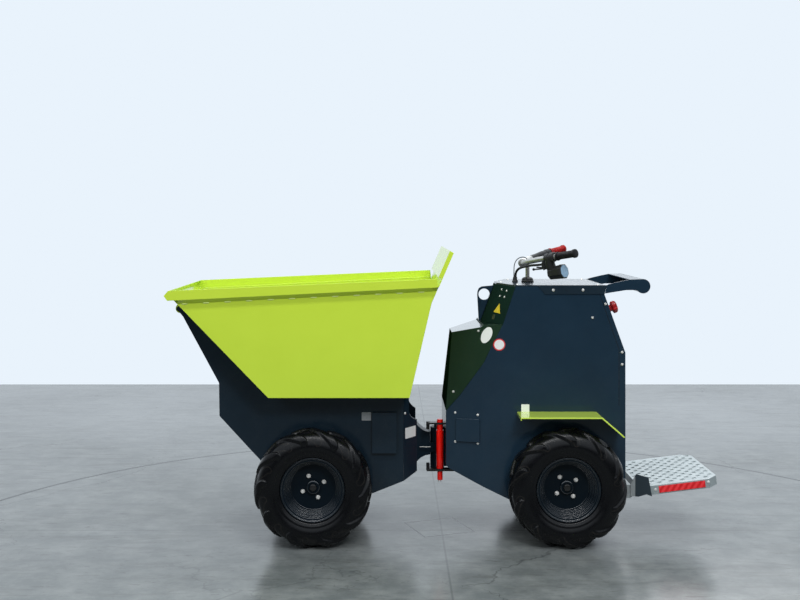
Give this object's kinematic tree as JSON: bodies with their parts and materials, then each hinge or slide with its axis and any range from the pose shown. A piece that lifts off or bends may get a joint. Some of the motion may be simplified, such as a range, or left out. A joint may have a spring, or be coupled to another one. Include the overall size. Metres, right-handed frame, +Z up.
{
  "type": "articulated electric site dumper",
  "caption": "Ride-on articulated mini dumper with a lime tipping skip, anthracite power unit, four lugged tyres, handlebar steering and a folding rear step.",
  "frame": {"origin": "bottom centre of the whole machine's bounding box, on the ground", "axes": "-X forward (skip end), +X rearward (step end), -Y the machine's left side, +Z up"},
  "size_m": [2.441, 0.8, 1.3025],
  "materials": {
    "lime": "gloss lime paint",
    "anthracite": "gloss blue-grey anthracite paint",
    "rim_paint": "gloss dark blue-grey paint",
    "tyre": "black tyre rubber",
    "red_paint": "gloss red paint",
    "bright_steel": "bright steel",
    "chromed": "chromed bar",
    "dark_steel": "black paint",
    "galvanised": "galvanised steel sheet",
    "black_plastic": "black plastic",
    "black_rubber": "black grip rubber",
    "red_rubber": "red grip rubber",
    "dark_red_plastic": "dark red plastic",
    "reflector": "red reflector",
    "cable": "black cable sheath",
    "battery": "plain battery block"
  },
  "bodies": {
    "rear_unit": {"rear_body": "anthracite", "front_cover": "anthracite", "top_deck": "anthracite", "rear_rail": "anthracite", "lifting_eye": "anthracite", "mudguards": "lime", "side_hatches": "anthracite", "rear_axle": "dark_steel", "battery_pack": "battery", "pivot_fork": "anthracite", "lock_bar": "red_paint", "lock_brackets": "dark_steel", "isolator_knob": "dark_red_plastic", "steering_base": "black_plastic", "step_arms": "galvanised"},
    "front_unit": {"chassis_side_left": "anthracite", "chassis_side_right": "anthracite", "nose_plate": "anthracite", "crossmembers": "anthracite", "tongue": "anthracite", "pump_cover": "anthracite", "front_axle": "dark_steel", "hinge_pin": "bright_steel"},
    "skip": {"skip_tub": "lime", "skip_rim": "lime", "headboard": "lime", "skip_lugs": "lime"},
    "barrel": {"tip_barrel": "dark_steel"},
    "stage": {"tip_stage": "chromed"},
    "ram_rod": {"tip_rod": "chromed"},
    "handlebar": {"handlebar_tube": "bright_steel", "grip_left": "black_rubber", "grip_right": "red_rubber", "control_box": "black_plastic", "cable_bundle": "cable"},
    "step": {"step_deck": "galvanised", "step_reflectors": "reflector"},
    "wheel_front_left": {"tyre_front_left": "tyre", "rim_front_left": "rim_paint"},
    "wheel_front_right": {"tyre_front_right": "tyre", "rim_front_right": "rim_paint"},
    "wheel_rear_left": {"tyre_rear_left": "tyre", "rim_rear_left": "rim_paint"},
    "wheel_rear_right": {"tyre_rear_right": "tyre", "rim_rear_right": "rim_paint"}
  },
  "joints": [
    {"name": "articulation", "type": "hinge", "parent": "rear_unit", "child": "front_unit", "pos_m": [-0.0285, 0, 0.368], "axis": [0, 0, 1], "range_deg": [-30, 30]},
    {"name": "skip_tip", "type": "hinge", "parent": "front_unit", "child": "skip", "pos_m": [-1.1885, 0, 1.03], "axis": [0, -1, 0], "range_deg": [0, 80]},
    {"name": "tip_barrel_swing", "type": "hinge", "parent": "front_unit", "child": "barrel", "pos_m": [-0.6685, 0, 0.245], "axis": [0, -1, 0], "range_deg": [-16.5, 0]},
    {"name": "tip_stage_slide", "type": "slide", "parent": "barrel", "child": "stage", "axis": [-0.4576, 0, 0.8891], "range_m": [0, 0.222]},
    {"name": "tip_rod_slide", "type": "slide", "parent": "stage", "child": "ram_rod", "axis": [-0.4576, 0, 0.8891], "range_m": [0, 0.222]},
    {"name": "step_fold", "type": "hinge", "parent": "rear_unit", "child": "step", "pos_m": [0.8335, 0, 0.235], "axis": [0, -1, 0], "range_deg": [0, 80]},
    {"name": "handlebar_turn", "type": "hinge", "parent": "rear_unit", "child": "handlebar", "pos_m": [0.3945, 0, 1.2], "axis": [0, 0, 1], "range_deg": [-31, 31]},
    {"name": "spin_front_left", "type": "hinge", "parent": "front_unit", "child": "wheel_front_left", "pos_m": [-0.5835, -0.3225, 0.2575], "axis": [0, -1, 0], "continuous": true},
    {"name": "spin_front_right", "type": "hinge", "parent": "front_unit", "child": "wheel_front_right", "pos_m": [-0.5835, 0.3225, 0.2575], "axis": [0, -1, 0], "continuous": true},
    {"name": "spin_rear_left", "type": "hinge", "parent": "rear_unit", "child": "wheel_rear_left", "pos_m": [0.5265, -0.3225, 0.2575], "axis": [0, -1, 0], "continuous": true},
    {"name": "spin_rear_right", "type": "hinge", "parent": "rear_unit", "child": "wheel_rear_right", "pos_m": [0.5265, 0.3225, 0.2575], "axis": [0, -1, 0], "continuous": true}
  ],
  "couplings": [
    {"joint": "tip_barrel_swing", "follows": "skip_tip", "ratio": -0.1975},
    {"joint": "tip_stage_slide", "follows": "skip_tip", "m_per_rad": 0.15792},
    {"joint": "tip_rod_slide", "follows": "skip_tip", "m_per_rad": 0.15792},
    {"joint": "handlebar_turn", "follows": "articulation", "ratio": 1}
  ]
}
